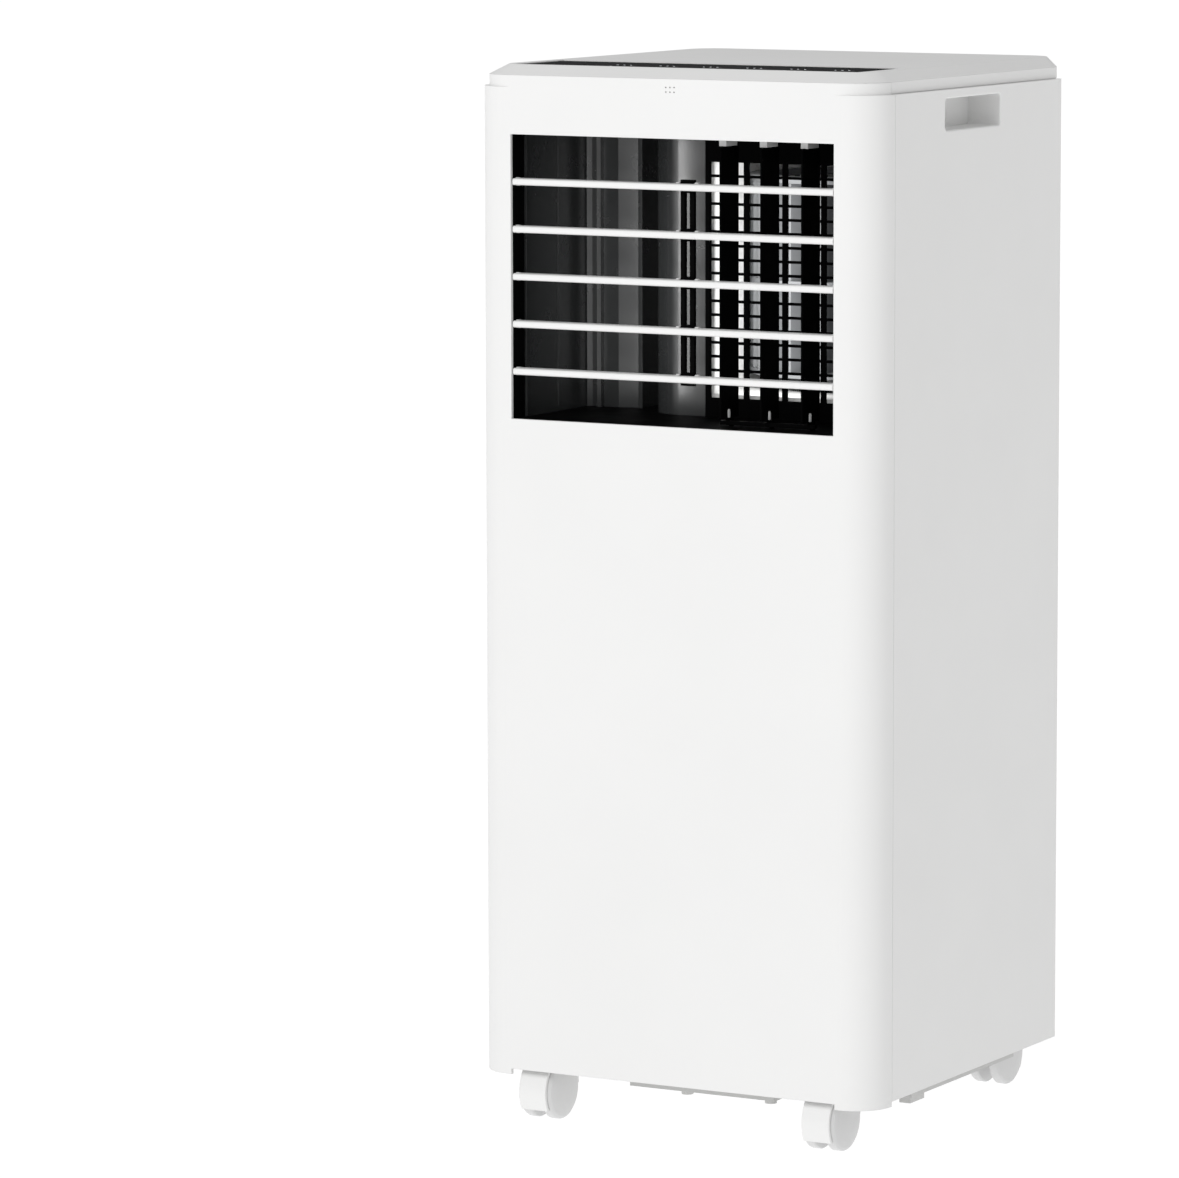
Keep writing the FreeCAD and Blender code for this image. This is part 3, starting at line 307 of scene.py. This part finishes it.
def middle(node):
    """Middle of a CAD node at rest, in millimetres."""
    return [(low + high) / 2 / MM for low, high in zip(*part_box(node))]


def prism(bm, outline, low, high, axis="Z"):
    """Extrude a closed outline between two levels along Z, or along Y."""
    def at(first, second, level):
        return (first, second, level) if axis == "Z" else (first, level, second)
    rows = [[bm.verts.new(at(a, b, level)) for a, b in outline] for level in (low, high)]
    bm.faces.new(rows[0])
    bm.faces.new(rows[1])
    count = len(outline)
    for index in range(count):
        after = (index + 1) % count
        bm.faces.new((rows[0][index], rows[0][after], rows[1][after], rows[1][index]))


def bar(x, y, length, width, turn=0):
    """Outline of a bar about (x, y), turned in degrees."""
    c, s = math.cos(math.radians(turn)), math.sin(math.radians(turn))
    long, wide = length / 2, width / 2
    corners = ((-long, -wide), (long, -wide), (long, wide), (-long, wide))
    return [(x + c * a - s * b, y + s * a + c * b) for a, b in corners]


def around(x, y, radius, turn):
    """The point at a distance from (x, y), turned in degrees from +X."""
    return x + radius * math.cos(math.radians(turn)), y + radius * math.sin(math.radians(turn))


def arc(x, y, radius, width, start=0, end=360, steps=28):
    """Outlines of the short strokes that make a curved line."""
    span = (end - start) / steps
    for index in range(steps):
        ends = (start + span * index, start + span * (index + 1))
        inner = [around(x, y, radius - width / 2, turn) for turn in ends]
        outer = [around(x, y, radius + width / 2, turn) for turn in ends]
        yield [inner[0], outer[0], outer[1], inner[1]]


def triangle(x, y, size, turn):
    """Outline of an arrow head that points towards turn."""
    return [around(x, y, size, turn + step) for step in (0, 120, 240)]


def turned(bm, x, y, profile, steps=40):
    """A lathed shape about an upright axis: profile is (radius, z) from the bottom up."""
    rings = [[bm.verts.new((*around(x, y, radius, 360 * k / steps), z)) for k in range(steps)]
             for radius, z in profile]
    for low, high in zip(rings, rings[1:]):
        for k in range(steps):
            after = (k + 1) % steps
            bm.faces.new((low[k], low[after], high[after], high[k]))
    bm.faces.new(rings[0])
    bm.faces.new(rings[-1])


# Printing on the control panel, in millimetres: ICON is the unit that the marks are drawn in.
PANEL_TOP = 699.4
MARK_HIGH = 0.08
INK_HIGH = 0.05
ICON_Y = -123.2
ICON = 2.4
DOT_Y = -99.4
DOT_STEP = 5


def power_icon(x, y):
    """A ring open at the top with an upright stroke in the gap."""
    yield from arc(x, y, 1.9 * ICON, 0.6 * ICON, 120, 420)
    yield bar(x, y + 1.3 * ICON, 0.6 * ICON, 2.4 * ICON)


def mode_icon(x, y):
    """A snow crystal."""
    for turn in (0, 60, 120):
        yield bar(x, y, 4.6 * ICON, 0.55 * ICON, turn)
    for turn in range(0, 360, 60):
        yield bar(*around(x, y, 1.6 * ICON, turn), 0.5 * ICON, 1.4 * ICON, turn)


def cooler_icon(x, y):
    """An arrow head towards the front."""
    yield triangle(x, y + 0.3 * ICON, 2.2 * ICON, -90)


def warmer_icon(x, y):
    """An arrow head towards the rear."""
    yield triangle(x, y - 0.3 * ICON, 2.2 * ICON, 90)


def speed_icon(x, y):
    """Three fan blades round a hub."""
    for turn in (90, 210, 330):
        yield from arc(*around(x, y, 1.2 * ICON, turn), 0.8 * ICON, 0.6 * ICON, turn - 150, turn + 100, 12)
    yield from arc(x, y, 0.3 * ICON, 0.5 * ICON, steps=10)


def swing_icon(x, y):
    """A bar between two arrow heads that point away from each other."""
    yield bar(x, y, 3.2 * ICON, 0.6 * ICON)
    yield triangle(x - 1.9 * ICON, y, 1.2 * ICON, 180)
    yield triangle(x + 1.9 * ICON, y, 1.2 * ICON, 0)


def control_marks(bm):
    """Printing on the panel: one mark before each key and indicator dots behind it."""
    marks = (power_icon, mode_icon, cooler_icon, warmer_icon, speed_icon, swing_icon)
    thin = (PANEL_TOP, PANEL_TOP + MARK_HIGH)
    for key, mark in zip(KEYS, marks):
        x = middle(key)[0]
        for outline in mark(x, ICON_Y):
            prism(bm, outline, *thin)
        for shift in (-DOT_STEP, 0, DOT_STEP):
            for outline in arc(x + shift, DOT_Y, radius=0.35, width=0.65, steps=12):
                prism(bm, outline, *thin)


piece("control_marks", "white_shell", "casing", control_marks, PRINT)


def key_frames(bm):
    """Thin grey outlines printed round the keys."""
    half_x, half_y, line = 10, 8, 0.5
    thin = (PANEL_TOP, PANEL_TOP + INK_HIGH)
    for key in KEYS:
        x, y, _ = middle(key)
        for side in (-1, 1):
            prism(bm, bar(x + side * half_x, y, line, 2 * half_y + line), *thin)
            prism(bm, bar(x, y + side * half_y, 2 * half_x + line, line), *thin)


piece("key_frames", "grey_duct", "casing", key_frames, INK)


# The rear panel's screws: two columns of heads, in millimetres.
SCREW_HEAD_R = 3.4
SCREW_LEVELS = (86, 208, 376, 655)


def screw_recess(bm):
    """Cross recesses in the heads of the screws that hold the rear panel."""
    low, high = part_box("housing_screws")
    columns = (low[0] / MM + SCREW_HEAD_R, high[0] / MM - SCREW_HEAD_R)
    face = high[1] / MM
    length, width, thick = 3.8, 0.8, 0.06
    for x in columns:
        for z in SCREW_LEVELS:
            for turn in (45, 135):
                prism(bm, bar(x, z, length, width, turn), face, face + thick, "Y")


piece("screw_recesses", "black_duct", "casing", screw_recess)


# The rating label on the rear panel, in millimetres.
LABEL_X, LABEL_Z = -103, 285
LABEL_WIDE, LABEL_HIGH = 46, 66
REAR_FACE = 144
LABEL_FACE = REAR_FACE + 0.15


def rating_label(bm):
    """The label's blank sheet."""
    prism(bm, bar(LABEL_X, LABEL_Z, LABEL_WIDE, LABEL_HIGH), REAR_FACE, LABEL_FACE, "Y")


def rating_lines(bm):
    """Lines of print and a bar pattern, all without words."""
    ink = (LABEL_FACE, LABEL_FACE + INK_HIGH)
    longest, line_pitch, line_high = 38, 4.2, 1.1
    for row in range(9):
        length = longest - 5 * ((row * 7) % 4)
        x, z = LABEL_X + (longest - length) / 2, LABEL_Z + 27 - line_pitch * row
        prism(bm, bar(x, z, length, line_high), *ink, "Y")
    stripe_pitch, stripe_high = 1.7, 9
    for stripe in range(22):
        width = 0.5 + 0.5 * ((stripe * 5) % 3 == 0)
        x, z = LABEL_X - 18 + stripe_pitch * stripe, LABEL_Z - 22
        prism(bm, bar(x, z, width, stripe_high), *ink, "Y")


piece("rating_label", "white_grille", "casing", rating_label)
piece("rating_print", "grey_duct", "casing", rating_lines, INK)


# The vanes' link pins and the (radius, z) profile of the caps on them, in millimetres.
VANE_LINK_Y = -123.5
PIN_CAP = ((1.2, 474.6), (1.75, 475), (1.75, 479), (1.3, 480.4))
for index in (1, 2, 3):
    piece(f"vane_{index}_pin_cap", "white_louver", f"vane_{index}_blade",
          lambda bm: turned(bm, middle(f"vane_{index}")[0], VANE_LINK_Y, PIN_CAP))


# ---------------------------------------------------------------- stage
def area_light(name, place, aim, size, watts):
    """A rectangular lamp of size (wide, high) at place, turned towards aim."""
    light = bpy.data.lights.new(name, "AREA")
    light.shape = "RECTANGLE"
    light.size, light.size_y = size
    light.energy = watts
    lamp = bpy.data.objects.new(name, light)
    lamp.location = place
    lamp.rotation_mode = "QUATERNION"
    lamp.rotation_quaternion = (Vector(aim) - Vector(place)).to_track_quat("-Z", "Y")
    bpy.context.collection.objects.link(lamp)


def studio():
    """White surroundings, one soft key light, two small lamps in the air outlet and a paper floor."""
    world = bpy.data.worlds.new("studio")
    bpy.context.scene.world = world
    world.use_nodes = True
    ground = world.node_tree.nodes["Background"]
    ground.inputs["Color"].default_value = (1, 1, 1, 1)
    ground.inputs["Strength"].default_value = 0.5
    area_light("key", (-0.4, -4.0, 3.4), (0, -0.15, 0.4), (2.4, 2.4), 92)
    area_light("inside_blower", (0.03, -0.071, 0.56), (0.03, 0.05, 0.56), (0.07, 0.15), 0.12)
    area_light("inside_duct", (-0.064, -0.131, 0.562), (-0.064, 0, 0.562), (0.01, 0.17), 0.042)

    half = 30
    corners = [(-half, -half, 0), (half, -half, 0), (half, half, 0), (-half, half, 0)]
    mesh = bpy.data.meshes.new("floor")
    mesh.from_pydata(corners, [], [(0, 1, 2, 3)])
    floor = bpy.data.objects.new("floor", mesh)
    bpy.context.collection.objects.link(floor)
    paper = Shader("paper", Emission_Color=(1, 1, 1, 1), Emission_Strength=0.92)
    paper.colours(paper.noise(2, detail=3), (0.14, 0.14, 0.14), (0.16, 0.16, 0.16))
    paper.rough(paper.noise(200), 0.8, 0.95)
    mesh.materials.append(paper.mat)


def camera():
    """A long lens a little above the top of the unit, standing to the right of its front."""
    data = bpy.data.cameras.new("camera")
    data.sensor_width = 36
    data.lens = 194.56
    data.shift_x = -0.1056
    data.clip_end = 100
    eye = bpy.data.objects.new("camera", data)
    turn, dip = math.radians(28.384), math.radians(7.271)
    forward = Vector((-math.sin(turn) * math.cos(dip), math.cos(turn) * math.cos(dip), -math.sin(dip)))
    eye.location = (1.9726, -3.7381, 0.8865)
    eye.rotation_mode = "QUATERNION"
    eye.rotation_quaternion = forward.to_track_quat("-Z", "Y")
    bpy.context.collection.objects.link(eye)
    bpy.context.scene.camera = eye


camera()
studio()
bpy.context.scene.view_settings.view_transform = "Standard"
